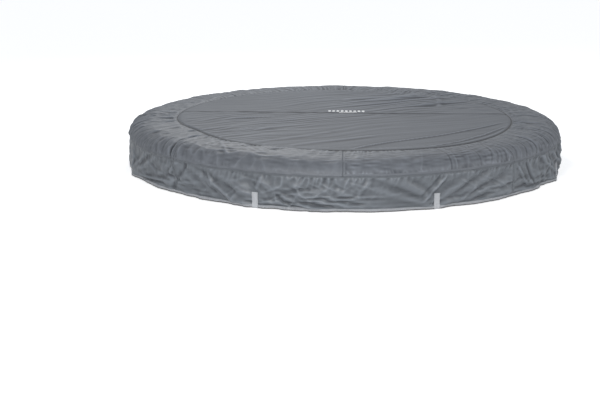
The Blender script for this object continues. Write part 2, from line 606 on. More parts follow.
def square(name, half, z):
    corners = [(-half, -half, z), (half, -half, z), (half, half, z), (-half, half, z)]
    return make_mesh(name, corners, [[[0, 1, 2, 3]]])


def loft(rings):
    """Closed rings (rings, points, 3) joined into a capped body."""
    count, size = rings.shape[:2]
    i, j = np.meshgrid(np.arange(count - 1), np.arange(size), indexing="ij")
    beside = (j + 1) % size
    quads = [i * size + j, i * size + beside, (i + 1) * size + beside, (i + 1) * size + j]
    caps = [np.arange(size)[::-1][None], ((count - 1) * size + np.arange(size))[None]]
    return rings.reshape(-1, 3), [np.stack(quads, -1).reshape(-1, 4)] + caps


def rod(path, radius, segments=8):
    """A round rod along a path."""
    path = np.asarray(path, float)
    tangent = np.gradient(path, axis=0)
    tangent = tangent / np.linalg.norm(tangent, axis=1, keepdims=True)
    normal = np.cross(tangent[0], [0, 0, 1.0])
    if np.linalg.norm(normal) < 0.1:
        normal = np.cross(tangent[0], [0, 1.0, 0])
    normals = [normal / np.linalg.norm(normal)]
    for ahead in tangent[1:]:
        normal = normals[-1] - ahead * (normals[-1] @ ahead)
        normals.append(normal / np.linalg.norm(normal))
    normals = np.array(normals)
    binormals = np.cross(tangent, normals)
    angle = np.linspace(0, 2 * math.pi, segments, endpoint=False)[None, :, None]
    radius = np.broadcast_to(np.asarray(radius, float), (len(path),))[:, None, None]
    return loft(path[:, None] + radius * (normals[:, None] * np.cos(angle)
                                          + binormals[:, None] * np.sin(angle)))


def join(parts):
    vertices, groups, offset = [], {}, 0
    for points, faces in parts:
        vertices.append(points)
        for group in faces:
            groups.setdefault(group.shape[1], []).append(group + offset)
        offset += len(points)
    return np.concatenate(vertices), [np.concatenate(group) for group in groups.values()]


def rotate_z(points, degrees):
    cos, sin = math.cos(math.radians(degrees)), math.sin(math.radians(degrees))
    x, y, z = points[..., 0], points[..., 1], points[..., 2]
    return np.stack([x * cos - y * sin, x * sin + y * cos, z], -1)


def copies(geometry, angles):
    return join([(rotate_z(geometry[0], angle), geometry[1]) for angle in angles])


def grid_faces(rows, cols, wrap=False, flip=False, start=0):
    i, j = np.meshgrid(np.arange(rows if wrap else rows - 1), np.arange(cols - 1), indexing="ij")
    near, far = i * cols + j, ((i + 1) % rows) * cols + j
    quads = np.stack([near, far, far + 1, near + 1], -1).reshape(-1, 4) + start
    return quads[:, ::-1] if flip else quads


def sheet(grid, thick=0.0009, flip=False, wrap=False):
    """A closed thin sheet whose outer face is a grid of points (rows, cols, 3)."""
    rows, cols = grid.shape[:2]
    if wrap:
        along = np.roll(grid, -1, 0) - np.roll(grid, 1, 0)
    else:
        along = np.gradient(grid, axis=0)
    normal = np.cross(along, np.gradient(grid, axis=1))
    normal /= np.linalg.norm(normal, axis=-1, keepdims=True) + 1e-12
    if flip:
        normal = -normal
    vertices = np.concatenate([grid.reshape(-1, 3), (grid - normal * thick).reshape(-1, 3)])
    size = rows * cols
    index = np.arange(size).reshape(rows, cols)
    faces = [grid_faces(rows, cols, wrap, flip), grid_faces(rows, cols, wrap, not flip, size)]

    def rim(line, reverse):
        a, b = line[:-1], line[1:]
        quads = np.stack([a, b, b + size, a + size], -1)
        faces.append(quads[:, ::-1] if reverse else quads)

    first, last = index[:, 0], index[:, -1]
    if wrap:
        first, last = np.append(first, first[0]), np.append(last, last[0])
    rim(first, not flip)
    rim(last, flip)
    if not wrap:
        rim(index[0, :], flip)
        rim(index[-1, :], not flip)
    return vertices, [np.concatenate(faces)]


def relief(height, passes):
    """Local height against its surroundings, -1..1: ridges positive."""
    mean = height.copy()
    for _ in range(passes):
        mean = (mean + np.roll(mean, 1, 0) + np.roll(mean, -1, 0)
                + np.roll(mean, 1, 1) + np.roll(mean, -1, 1)) / 5
    rise = height - mean
    rise[:4], rise[-4:], rise[:, :4], rise[:, -4:] = 0, 0, 0, 0
    return np.clip(rise / (np.abs(rise).mean() * 3.4 + 1e-9), -1, 1)


# ---------------------------------------------------------------- cloth simulation of the outer part
SIM_COLS, SIM_FRAMES = 640, 30
sim_step = 2 * math.pi * DRAPE_R / SIM_COLS
SIM_PHI = np.linspace(-180, 180, SIM_COLS, endpoint=False)
SIM_RUN = np.concatenate([
    np.linspace(INNER, SEAM, int(round((SEAM - INNER) / sim_step)) + 1),
    np.linspace(SEAM, HEM, int(round((HEM - SEAM) / sim_step)) + 1)[1:]])
SIM_ROWS = len(SIM_RUN)


def assign(target, **values):
    for name, value in values.items():
        setattr(target, name, value)


def plain_cover(phi, run, grow=0.0, out=0.0):
    """The plain outline as points, widened by a share and by a length."""
    skirt = run > SEAM + 1e-9
    r_top, z_top = outline(run, False, phi)
    r_skirt, z_skirt = outline(run, True, phi)
    radius = np.where(skirt, r_skirt, r_top) * (1 + grow) + out
    return around(radius, np.radians(phi), np.where(skirt, z_skirt, z_top))


def cloth_start(phi, run):
    """The plain outline, roughened outwards so that the cloth can buckle."""
    lean = turn_noise(phi + 180, 14, 0.0, 9)
    rough = (0.0035 * turn_noise(phi + lean * 40 * (run - SEAM) + 180, 120, run / 0.18, 5)
             + 0.0030 * turn_noise(phi + 180, 64, run / 0.11, 6))
    rough = np.abs(rough) * smooth(0, 0.03, run - INNER)
    side = smooth(SEAM - .12, SEAM - .02, run)
    start = plain_cover(phi, run)
    radius = np.hypot(start[..., 0], start[..., 1])[..., None]
    start[..., :2] += start[..., :2] / radius * rough[..., None] * side[..., None]
    start[..., 2] += rough * (1 - side)
    return start


def cloth_rest(phi, run):
    """The larger shape the cloth would take without load; its slack makes the folds."""
    left, front_left = lobe(phi, -80, 34), lobe(phi, -30, 20)
    right, back_right = lobe(phi, 74, 26), lobe(phi, 140, 34)
    back_left = lobe(phi, -130, 34)
    rise = smooth(0.0, 0.4, np.clip((run - INNER) / (SEAM - INNER), 0, 1.6))
    grow = (0.020 + 0.060 * left + 0.050 * front_left + 0.080 * right + 0.050 * back_right
            + 0.050 * back_left) * rise
    grow = grow + 0.026 * smooth(SEAM - 0.01, SEAM + 0.03, run)
    turn = ((1.5 * turn_noise(phi + 180, 12, .3, 19) + 1.8 * right - 1.2 * left)
            * smooth(INNER + .05, HEM, run))
    rest = plain_cover(phi + turn, run, grow, 0.010 * rise + 0.008 * front_left * rise)
    rest[..., 2] -= 0.012 * smooth(SEAM, HEM, run)
    return rest


def drape_form():
    """What the cloth lies on: the padded ring just inside the outline, then the open side."""
    angle = np.linspace(-180, 180, 240, endpoint=False)
    inset = 0.0065
    phi, run = np.meshgrid(angle, np.linspace(INNER, SEAM - 0.02, 26), indexing="ij")
    radius, z = outline(run, False, phi)
    normal_r, normal_z = outline_normal(run, False, phi, 0.004)
    radius, z = radius - normal_r * inset, z - normal_z * inset
    lower_z = np.tile([Z_SEAM - 0.025, 0.14, -0.03], (len(angle), 1))
    radius = np.concatenate([radius, radius[:, -1:] - [0.012, 0.030, 0.034]], 1)
    z = np.concatenate([z, lower_z], 1)
    points = around(radius, np.radians(angle)[:, None], z)
    form = make_mesh("drape_form", points, [grid_faces(*points.shape[:2], True, True)])
    form.modifiers.new("Collision", "COLLISION")
    assign(form.collision, thickness_outer=0.002, thickness_inner=0.03, cloth_friction=1.5)
    return form


def pin_cloth(ob):
    """Sews the cloth down at the inner seam and ties it at the tabs."""
    group = ob.vertex_groups.new(name="pin")
    index = np.arange(SIM_COLS * SIM_ROWS).reshape(SIM_COLS, SIM_ROWS)
    group.add([int(i) for i in index[:, 0]], 1.0, "REPLACE")
    for tab in TAB_PHI:
        apart = np.abs(wrap_deg(SIM_PHI - tab)) * math.pi / 180 * DRAPE_R
        near = np.where(apart < 0.024)[0]
        group.add([int(i) for i in index[near, SIM_ROWS - 3:].ravel()], 1.0, "REPLACE")


def drape():
    """Simulates the slack cloth; returns its (radial, tangential, upward) movement."""
    phi, run = np.meshgrid(SIM_PHI, SIM_RUN, indexing="ij")
    ob = make_mesh("drape", cloth_start(phi, run), [grid_faces(SIM_COLS, SIM_ROWS, True, True)])
    ob.shape_key_add(name="Basis")
    key = ob.shape_key_add(name="rest")
    key.data.foreach_set("co", cloth_rest(phi, run).reshape(-1).astype(np.float32))
    key.value = 0.0
    pin_cloth(ob)
    cloth = ob.modifiers.new("Cloth", "CLOTH")
    assign(cloth.settings, quality=8, mass=0.12, air_damping=1.0,
           tension_stiffness=400, compression_stiffness=400,
           shear_stiffness=120, bending_stiffness=0.01,
           tension_damping=2, compression_damping=2, shear_damping=2, bending_damping=0.1,
           vertex_group_mass="pin", rest_shape_key=key)
    assign(cloth.collision_settings, use_collision=True, use_self_collision=False,
           distance_min=0.002, collision_quality=2)
    assign(cloth.point_cache, frame_start=1, frame_end=SIM_FRAMES)
    form = drape_form()
    ground = square("drape_ground", 3, 0.004)
    ground.modifiers.new("Collision", "COLLISION")
    for number in range(1, SIM_FRAMES + 1):
        bpy.context.scene.frame_set(number)
    result = ob.evaluated_get(bpy.context.evaluated_depsgraph_get())
    points = np.zeros(SIM_COLS * SIM_ROWS * 3, np.float32)
    result.data.vertices.foreach_get("co", points)
    bpy.context.scene.frame_set(1)
    for used in (ob, form, ground):
        bpy.data.objects.remove(used, do_unlink=True)
    points = points.reshape(SIM_COLS, SIM_ROWS, 3).astype(float)
    moved = points - plain_cover(phi, run)
    return np.stack([(moved * outward(phi)).sum(-1), (moved * outward(phi + 90)).sum(-1),
                     moved[..., 2]], -1)


def soft_cap(x, low, high):
    """Movement held between two limits without a hard edge."""
    return np.where(x > 0, high * np.tanh(x / high), low * np.tanh(x / low))


def slack_folds():
    """The folds of the draped cloth, without the slow sag, which hem_pull gives instead."""
    waves = np.fft.rfft(drape(), axis=0)
    count = np.arange(len(waves))       # waves per turn
    band = smooth(7, 20, count) * (1 - smooth(55, 125, count))
    moved = np.fft.irfft(waves * band[:, None, None], SIM_COLS, axis=0) * 1.7
    # calmer at both sides, and on the left shoulder
    moved = moved * (1 - 0.42 * bell(np.abs(SIM_PHI), 80, 13))[:, None, None]
    left = bell(SIM_PHI, -82, 34)[:, None]
    above = (1 - smooth(SEAM - 0.13, SEAM - 0.03, SIM_RUN))[None, :]
    moved = moved * (1 - 0.6 * left * above)[..., None]
    for axis, (low, high) in enumerate([(-0.020, 0.020), (-0.016, 0.016), (-0.010, 0.014)]):
        moved[..., axis] = soft_cap(moved[..., axis], low, high)
    return moved


def drape_at(phi, run):
    """The draped movement anywhere on the cover, held back just above the second seam."""
    total = np.zeros(np.shape(phi) + (3,))
    if DRAPE is None:
        return total
    col = (np.asarray(phi) + 180.0) / 360.0 * SIM_COLS
    row = np.interp(run, SIM_RUN, np.arange(SIM_ROWS))
    col_i = np.floor(col).astype(int)
    row_i = np.clip(np.floor(row).astype(int), 0, SIM_ROWS - 2)
    col_weights, row_weights = catmull_rom(col - col_i), catmull_rom(row - row_i)
    for i in range(4):
        at_col = np.mod(col_i + i - 1, SIM_COLS)
        for j in range(4):
            at_row = np.clip(row_i + j - 1, 0, SIM_ROWS - 1)
            total += (col_weights[i] * row_weights[j])[..., None] * DRAPE[at_col, at_row]
    return total * (1 - 0.85 * np.exp(-((run - SEAM + 0.030) / 0.034) ** 2))[..., None]


# ---------------------------------------------------------------- materials
class Graph:
    """Adds shader nodes to a node tree. Values may be numbers, colours or output sockets."""

    def __init__(self, tree):
        self.tree = tree

    def node(self, kind, **settings):
        node = self.tree.nodes.new(kind)
        assign(node, **settings)
        return node

    def feed(self, socket, value):
        if isinstance(value, bpy.types.NodeSocket):
            self.tree.links.new(value, socket)
        else:
            socket.default_value = value

    def set(self, node, **inputs):
        """Inputs are named with underscores for spaces."""
        for name, value in inputs.items():
            self.feed(node.inputs[name.replace("_", " ")], value)

    def noise(self, vector, scale, detail=2.0, rough=0.5, distort=0.0):
        node = self.node("ShaderNodeTexNoise")
        self.set(node, Scale=scale, Detail=detail, Roughness=rough, Distortion=distort,
                 Vector=vector)
        return node.outputs["Fac"]

    def math(self, operation, *values, clamp=False):
        node = self.node("ShaderNodeMath", operation=operation, use_clamp=clamp)
        for socket, value in zip(node.inputs, values):
            self.feed(socket, value)
        return node.outputs[0]

    def scaled(self, value, factor, offset):
        return self.math("ADD", self.math("MULTIPLY", value, factor), offset)

    def ramp(self, value, colour, *stops):
        """Tones of a colour; a stop is a position and a factor for the colour."""
        node = self.node("ShaderNodeValToRGB")
        elements = node.color_ramp.elements
        elements.remove(elements[0])
        elements[0].position = stops[0][0]
        elements[0].color = (*np.multiply(colour, stops[0][1]), 1)
        for position, factor in stops[1:]:
            elements.new(position).color = (*np.multiply(colour, factor), 1)
        self.feed(node.inputs[0], value)
        return node.outputs[0]

    def mix(self, share, first, second, mode="MIX"):
        node = self.node("ShaderNodeMix", data_type="RGBA", blend_type=mode)
        for place, value in ((0, share), (6, first), (7, second)):
            self.feed(node.inputs[place], value)
        return node.outputs[2]

    def split(self, vector):
        node = self.node("ShaderNodeSeparateXYZ")
        self.feed(node.inputs[0], vector)
        return node.outputs


class Surface(Graph):
    """A new material with a Principled shader."""

    def __init__(self, name):
        self.material = bpy.data.materials.new(name)
        self.material.use_nodes = True
        super().__init__(self.material.node_tree)
        self.tree.nodes.clear()
        self.output = self.node("ShaderNodeOutputMaterial")
        self.bsdf = self.node("ShaderNodeBsdfPrincipled")
        self.feed(self.output.inputs[0], self.bsdf.outputs[0])
        self.normal = None

    def place(self):
        return self.node("ShaderNodeTexCoord").outputs["Object"]

    def shade(self, **inputs):
        self.set(self.bsdf, **inputs)

    def bump(self, height, strength, distance):
        """Adds a bump on top of the earlier ones."""
        node = self.node("ShaderNodeBump")
        self.set(node, Strength=strength, Distance=distance, Height=height)
        if self.normal is not None:
            self.set(node, Normal=self.normal)
        self.normal = node.outputs[0]
        self.shade(Normal=self.normal)

    def weave(self, vector, pitch):
        """Height of a plain weave with threads along X and Y of the given place."""
        axes = self.split(vector)
        waves = [self.math("SINE", self.math("MULTIPLY", axes[i], math.pi / pitch))
                 for i in (0, 1)]
        return self.math("MULTIPLY", *waves)

    def ring_place(self, place):
        """(arc round the ring, radius - height, 0): follows the ring on top and on the skirt."""
        x, y, z = self.split(place)
        arc = self.math("MULTIPLY", self.math("ARCTAN2", x, y), 1.5)
        squares = [self.math("MULTIPLY", axis, axis) for axis in (x, y)]
        radius = self.math("SQRT", self.math("ADD", *squares))
        down = self.math("SUBTRACT", radius, z)
        node = self.node("ShaderNodeCombineXYZ")
        self.set(node, X=arc, Y=down)
        return node.outputs[0]


def cover_material(name, colour, ring, rough, specular):
    """Woven fabric, mottled, lighter on ridges, darker in hollows and at seams."""
    mat = Surface(name)
    place = mat.place()
    large = mat.noise(place, 2.2, 3.0, 0.55)
    medium = mat.noise(place, 14.0, 3.0, 0.6)
    fine = mat.noise(place, 160.0, 2.0, 0.6)
    tone = mat.ramp(large, colour, (0.30, 0.904), (0.70, 1.084))
    tone = mat.mix(0.25, tone, mat.ramp(medium, colour, (0.35, 0.90), (0.65, 1.08)))
    fold = mat.node("ShaderNodeAttribute", attribute_name="relief").outputs["Fac"]
    wear = mat.ramp(mat.scaled(fold, 0.5, 0.5), (1.0, 1.0, 1.0),
                    (0.0, (0.56, 0.56, 0.57)), (0.5, 1), (1.0, (1.40, 1.40, 1.41)))
    tone = mat.mix(1.0, tone, wear, "MULTIPLY")
    seam = mat.node("ShaderNodeAttribute", attribute_name="seam").outputs["Fac"]
    tone = mat.mix(mat.math("MULTIPLY", seam, 1.0, clamp=True), tone,
                   (*np.multiply(colour, 0.13), 1))
    mat.shade(Base_Color=tone, Roughness=mat.scaled(medium, 0.16, rough - 0.08),
              Specular_IOR_Level=specular, Sheen_Weight=0.08, Sheen_Roughness=0.5)
    if ring:
        place = mat.ring_place(place)
    threads = mat.weave(place, pitch=0.0011)
    mat.bump(mat.noise(place, 55.0, 3.0, 0.6, 0.4), strength=0.16, distance=0.0022)
    mat.bump(fine, strength=0.10, distance=0.0006)
    mat.bump(threads, strength=0.22, distance=0.00012)
    return mat.material


def webbing_material(name, colour, pitch, rough):
    """Coarse matt weave."""
    mat = Surface(name)
    place = mat.place()
    fine = mat.noise(place, 400.0, 2.0, 0.6)
    large = mat.noise(place, 24.0, 3.0, 0.6)
    tone = mat.ramp(large, colour, (0.3, 0.90), (0.7, 1.08))
    tone = mat.mix(0.35, tone, mat.ramp(fine, colour, (0.35, 0.72), (0.65, 1.18)))
    mat.shade(Base_Color=tone, Roughness=rough, Sheen_Weight=0.25)
    mat.bump(mat.weave(mat.ring_place(place), pitch), strength=0.55, distance=0.0003)
    mat.bump(fine, strength=0.25, distance=0.0003)
    return mat.material


def metal_material(name, colour, rough, spangle, scale):
    """Metal with crystal patches `spangle` lighter or darker; `scale` sets their fineness."""
    mat = Surface(name)
    place = mat.place()
    cells = mat.node("ShaderNodeTexVoronoi")
    mat.set(cells, Scale=scale, Vector=place)
    grey = mat.node("ShaderNodeRGBToBW")
    mat.feed(grey.inputs[0], cells.outputs["Color"])
    clouds = mat.noise(place, 9.0, 4.0, 0.6)
    tone = mat.ramp(grey.outputs[0], colour, (0.2, 1 - spangle), (0.8, 1 + spangle))
    tone = mat.mix(0.5, tone, mat.ramp(clouds, colour, (0.35, 0.80), (0.65, 1.08)))
    mat.shade(Base_Color=tone, Metallic=0.9, Roughness=mat.scaled(clouds, 0.22, rough - 0.10))
    mat.bump(mat.noise(place, 900.0, 2.0, 0.5), strength=0.12, distance=0.0002)
    return mat.material


def plastic_material(name, colour, rough, grain):
    """Finely grained matt surface."""
    mat = Surface(name)
    place = mat.place()
    clouds = mat.noise(place, 40.0, 3.0, 0.6)
    tone = mat.ramp(clouds, colour, (0.3, 0.85), (0.7, 1.2))
    mat.shade(Base_Color=tone, Roughness=mat.scaled(clouds, 0.15, rough - 0.07))
    mat.bump(mat.noise(place, grain, 2.0, 0.6), strength=0.25, distance=0.0003)
    return mat.material


def floor_material():
    """White, brightened for the camera, and seen through from below."""
    mat = Surface("floor_white")
    mat.shade(Base_Color=(0.93, 0.93, 0.93, 1), Roughness=0.9)
    geometry = mat.node("ShaderNodeNewGeometry")
    clear = mat.node("ShaderNodeBsdfTransparent")
    glow = mat.node("ShaderNodeEmission")
    rays = mat.node("ShaderNodeLightPath")
    brightness = mat.math("MULTIPLY", rays.outputs["Is Camera Ray"], 0.60)
    mat.set(glow, Color=(1, 1, 1, 1), Strength=brightness)
    both = mat.node("ShaderNodeAddShader")
    mat.feed(both.inputs[0], mat.bsdf.outputs[0])
    mat.feed(both.inputs[1], glow.outputs[0])
    choice = mat.node("ShaderNodeMixShader")
    sources = (geometry.outputs["Backfacing"], both.outputs[0], clear.outputs[0])
    for socket, source in zip(choice.inputs, sources):
        mat.feed(socket, source)
    mat.feed(mat.output.inputs[0], choice.outputs[0])
    return mat.material


CLOTH = (0.158, 0.166, 0.178)
centre_cloth = cover_material("cover_fabric_centre", np.multiply(CLOTH, (0.970, 0.985, 1.010)),
                              ring=False, rough=0.66, specular=0.22)
shoulder_cloth = cover_material("cover_fabric_shoulder",
                                np.multiply(CLOTH, (0.915, 0.935, 0.965)),
                                ring=True, rough=0.54, specular=0.34)
skirt_cloth = cover_material("cover_fabric_skirt", np.multiply(CLOTH, (0.900, 0.935, 0.955)),
                             ring=True, rough=0.46, specular=0.46)
pad_cloth = cover_material("pad_fabric", (0.115, 0.120, 0.130),
                           ring=True, rough=0.52, specular=0.40)
mat_weave = webbing_material("jumping_mat_weave", (0.022, 0.022, 0.024),
                             pitch=0.0022, rough=0.62)
binding_tape = webbing_material("hem_binding_tape", (0.36, 0.37, 0.39), pitch=0.0012, rough=0.7)
light_webbing = webbing_material("tab_webbing_light", (0.50, 0.51, 0.53),
                                 pitch=0.0018, rough=0.75)
black_webbing = webbing_material("webbing_black", (0.035, 0.035, 0.038),
                                 pitch=0.0018, rough=0.8)
cord_braid = webbing_material("cord_braid", (0.045, 0.046, 0.050), pitch=0.0014, rough=0.7)
light_thread = webbing_material("thread_light", (0.36, 0.37, 0.38), pitch=0.0006, rough=0.7)
white_print = plastic_material("plain_white_print", (0.86, 0.86, 0.86), rough=0.55, grain=500.0)
galvanised = metal_material("galvanised_tube", (0.60, 0.61, 0.62),
                            rough=0.42, spangle=0.10, scale=75.0)
zinc = metal_material("zinc_plate", (0.70, 0.70, 0.70), rough=0.30, spangle=0.04, scale=300.0)
spring_wire = metal_material("spring_wire", (0.66, 0.66, 0.67),
                             rough=0.30, spangle=0.05, scale=200.0)
rubber = plastic_material("foot_rubber", (0.022, 0.022, 0.023), rough=0.72, grain=900.0)
lock_plastic = plastic_material("lock_plastic", (0.020, 0.020, 0.022), rough=0.45, grain=1200.0)
foam = plastic_material("closed_cell_foam", (0.62, 0.61, 0.57), rough=0.85, grain=350.0)

# ---------------------------------------------------------------- camera, light, floor
scene = bpy.context.scene


def add_camera(lens, distance, rise, pan, tilt, roll):
    """Distance in front of the axis and rise over the cover are in inner seam radii."""
    camera = bpy.data.cameras.new("camera")
    ob = bpy.data.objects.new("camera", camera)
    scene.collection.objects.link(ob)
    camera.sensor_width = 36.0
    camera.lens = lens
    ahead = Vector((math.sin(pan) * math.cos(tilt), math.cos(pan) * math.cos(tilt),
                    -math.sin(tilt)))
    right = Vector((math.cos(pan), -math.sin(pan), 0))
    up = right.cross(ahead)
    rolled_right = right * math.cos(roll) + up * math.sin(roll)
    rolled_up = -right * math.sin(roll) + up * math.cos(roll)
    pose = Matrix((rolled_right, rolled_up, -ahead)).transposed().to_4x4()
    pose.translation = (0, -distance * R_IN, Z_CENTRE - 0.004 + rise * R_IN)
    ob.matrix_world = pose
    scene.camera = ob


def add_world():
    """A soft grey studio that the camera sees as white."""
    world = bpy.data.worlds.new("studio")
    scene.world = world
    world.use_nodes = True
    graph = Graph(world.node_tree)
    background = world.node_tree.nodes["Background"]
    direction = graph.node("ShaderNodeTexCoord").outputs["Generated"]
    height = graph.split(direction)[2]
    remap = graph.node("ShaderNodeMapRange")
    for socket, value in zip(remap.inputs, (height, -1.0, 1.0)):
        graph.feed(socket, value)
    sky = graph.ramp(remap.outputs[0], (1.0, 1.0, 1.0),
                     (0.48, (0.47, 0.48, 0.50)), (1.0, (0.355, 0.375, 0.405)))
    rays = graph.node("ShaderNodeLightPath")
    colour = graph.mix(rays.outputs["Is Camera Ray"], sky, (1.0, 1.0, 1.0, 1))
    graph.set(background, Color=colour, Strength=1.0)


def area_light(name, place, target, size, power):
    light = bpy.data.lights.new(name, "AREA")
    assign(light, shape="RECTANGLE", size=size[0], size_y=size[1], energy=power,
           color=(1, 1, 1))
    ob = bpy.data.objects.new(name, light)
    scene.collection.objects.link(ob)
    ob.location = place
    ob.rotation_mode = "QUATERNION"
    ob.rotation_quaternion = (Vector(target) - Vector(place)).to_track_quat("-Z", "Y")


add_camera(lens=70.422, distance=7.0, rise=1.2860, pan=-0.0374, tilt=0.2529, roll=0.0006)
add_world()
area_light("key_back", place=(-0.9, 3.2, 3.5), target=(0, 0.0, 0.3), size=(1.5, 0.8), power=74)
area_light("front_fill", place=(-1.4, -6.4, 2.2), target=(0.0, -0.9, 0.2), size=(1.3, 0.7),
           power=165)
area_light("right_fill", place=(5.4, -3.4, 1.9), target=(1.0, -0.4, 0.2), size=(1.0, 1.0),
           power=60)
floor = square("studio_floor", 60, 0)
floor.data.materials.append(floor_material())

DRAPE = slack_folds()


# ---------------------------------------------------------------- cover panels
def cover_panel(name, node, grid, material, flip, **shades):
    """A panel of the cover with its `relief` and `seam` shading values."""
    ob = piece(name, sheet(grid, flip=flip), material, "cover", "cover_fabric", node)
    for key, values in shades.items():
        attribute = ob.data.attributes.new(key, "FLOAT", "POINT")
        both_faces = np.concatenate([values.ravel(), values.ravel()]).astype(np.float32)
        attribute.data.foreach_set("value", both_faces)


def inner_seam_shade(dist, width, phi):
    """Dark line at the inner seam, weaker at the back."""
    return (np.exp(-(dist / width) ** 2)
            * (1 - 0.75 * lobe(phi, -128, 36) - 0.45 * lobe(phi, 150, 40)))


def centre_panel(name, node, front):
    """One side of the centre, gridded from the middle seam to the inner seam."""
    cols, rows = 470, 104
    corner = math.asin(SEAM_Y / R_IN)
    share = np.linspace(0, 1, cols)
    if front:
        angle = -corner + (math.pi + 2 * corner) * share
        unit_x, unit_y = np.cos(angle), -np.sin(angle)
    else:
        angle = corner + (math.pi - 2 * corner) * share
        unit_x, unit_y = np.cos(angle), np.sin(angle)
    radius = R_IN + seam_wobble(azimuth(unit_x, unit_y))
    rim_x, rim_y = unit_x * radius, unit_y * radius
    # the panel's straight edge on the middle seam
    seam_x = rim_x * 0.55 + np.linspace(rim_x[0], rim_x[-1], cols) * 0.45
    seam_x[0], seam_x[-1] = rim_x[0], rim_x[-1]
    line = seam_y(seam_x)
    line = np.where(share < 0.5, rim_y[0] + (line - rim_y[0]) * smooth(0, 0.03, share),
                    rim_y[-1] + (line - rim_y[-1]) * (1 - smooth(0.97, 1, share)))
    t = np.linspace(0, 1, rows)
    t = t + 0.10 * np.sin(2 * np.pi * t) / (2 * np.pi)
    x = seam_x[:, None] * (1 - t) + rim_x[:, None] * t
    y = line[:, None] * (1 - t) + rim_y[:, None] * t
    z = centre_z(x, y)
    phi = azimuth(x, y)
    seam = (inner_seam_shade(R_IN + seam_wobble(phi) - np.hypot(x, y),
                             0.0036 + 0.0190 * np.clip(-y / R_IN, 0, 1), phi)
            + bell(np.abs(y - seam_y(x)), 0, 0.0125))
    cover_panel(name, node, np.stack([x, y, z], -1), centre_cloth, flip=not front,
                relief=np.clip(0.6 * relief(z, 3) + 0.7 * relief(z, 10), -1, 1), seam=seam)


def fold_relief(phi, run):
    """Folds stand out in colour: worn ridges lighter, hollows darker."""
    phi = wrap_deg(phi)
    moved = drape_at(phi, run)
    side = smooth(SEAM - 0.15, SEAM - 0.03, run)
    height = displacement(phi, run) + moved[..., 0] * side + moved[..., 2] * (1 - side)
    return np.clip((0.40 * relief(height, 6) + 0.80 * relief(height, 22))
                   * (1 + 0.6 * lobe(phi, 180, 60)), -1, 1)


def shoulder_panel(number):
    middle = wrap_deg(22.5 + 45.0 * (number - 1) + 90.0)
    phi, run = np.meshgrid(np.linspace(middle - 22.5, middle + 22.5, 300),
                           np.linspace(INNER, SEAM, 86), indexing="ij")
    facing = np.clip(np.cos(np.radians(phi)), 0, 1)
    seam = (inner_seam_shade(run - INNER, 0.0028 + 0.0195 * facing, phi)
            + 0.22 * bell(run, SEAM, 0.0035)
            + 0.18 * bell(seam_distance(phi, 0.0, 45.0), 0, 0.0035)
            * (1 + 1.6 * (abs(middle) > 60))
            + 0.7 * crease(wrap_deg(phi), run, 0, 1.0, 0.0065, DEEP_FOLD))
    name = "shoulder_panel_%d" % number
    cover_panel(name, "cover_" + name, shell_points(wrap_deg(phi), run, False),
                shoulder_cloth, flip=True, relief=fold_relief(phi, run), seam=seam)


def skirt_panel(number):
    middle = wrap_deg(90.0 * (number - 1) + 90.0)
    phi, run = np.meshgrid(np.linspace(middle - 45, middle + 45, 560),
                           np.linspace(SEAM - 0.009, HEM, 52), indexing="ij")
    seam = (0.22 * bell(run, SEAM, 0.0035)
            + 0.4 * bell(seam_distance(phi, 45.0, 90.0), 0, 0.003))
    name = "skirt_panel_%d" % number
    cover_panel(name, "cover_" + name, shell_points(wrap_deg(phi), run, True),
                skirt_cloth, flip=True, relief=fold_relief(phi, run), seam=seam)


centre_panel("centre_panel_front", "cover_centre_front", True)
centre_panel("centre_panel_rear", "cover_centre_rear", False)
for number in range(1, 9):
    shoulder_panel(number)
for number in range(1, 5):
    skirt_panel(number)

# ---------------------------------------------------------------- hem binding
# (outwards, upwards) from the skirt's edge: down the outside, under it and up the inside
BINDING_SECTION = [(0.0011, 0.0125), (0.0017, 0.0115), (0.0018, 0.002), (0.0012, -0.0015),
                   (-0.0004, -0.0028), (-0.0022, -0.0015), (-0.0028, 0.002),
                   (-0.0026, 0.0115), (-0.0020, 0.0125)]


def hem_binding():
    phi = np.linspace(-180, 180, 1600, endpoint=False)
    reach = 0.013
    edge, above = shell_points(phi, HEM, True), shell_points(phi, HEM - reach, True)
    lines = []
    for out, up in BINDING_SECTION:
        line = edge + (above - edge) * max(0.0, min(1.0, up / reach))
        line[:, 2] += min(up, 0.0)
        lines.append(line + outward(phi) * out)
    piece("hem_binding_tape", sheet(np.stack(lines, 1), 0.0006, flip=True, wrap=True),
          binding_tape, "cover", "hem_binding", "hem_binding")


hem_binding()

# ---------------------------------------------------------------- webbing tabs, stitching
CORD_INSET = 0.0020                     # the cord lies inside the hem's outer face
CORD_DROP = 0.0062                      # and below its edge
TAB_WRAP_R = 0.0047                     # the tab's turn round the cord


def cord_points(phi):
    return shell_points(phi, HEM, True) - outward(phi) * CORD_INSET + [0, 0, -CORD_DROP]


def tab_sheet(tab):
    """Webbing down the outside of the skirt, round the cord and up the inside."""
    strips = []
    for aside in np.linspace(-0.020, 0.020, 11):
        phi = wrap_deg(tab + math.degrees(aside / TAB_R))
        run = np.linspace(TAB_TOP, HEM - 0.0045, 18)
        outside = shell_points(phi, run, True,
                               0.0016 + 0.0014 * smooth(HEM - 0.022, HEM - 0.012, run))
        angle = np.radians(np.linspace(0, -180, 13))[:, None]
        turn = (cord_points(phi) + outward(phi) * (TAB_WRAP_R * np.cos(angle))
                + np.array([0, 0, 1.0]) * (TAB_WRAP_R * np.sin(angle)))
        run = np.linspace(HEM - 0.006, HEM - 0.050, 8)
        inside = shell_points(phi, run, True,
                              -0.0042 + 0.0020 * smooth(HEM - 0.012, HEM - 0.03, run))
        strips.append(np.concatenate([outside, turn, inside]))
    return sheet(np.array(strips), 0.0012, flip=True)


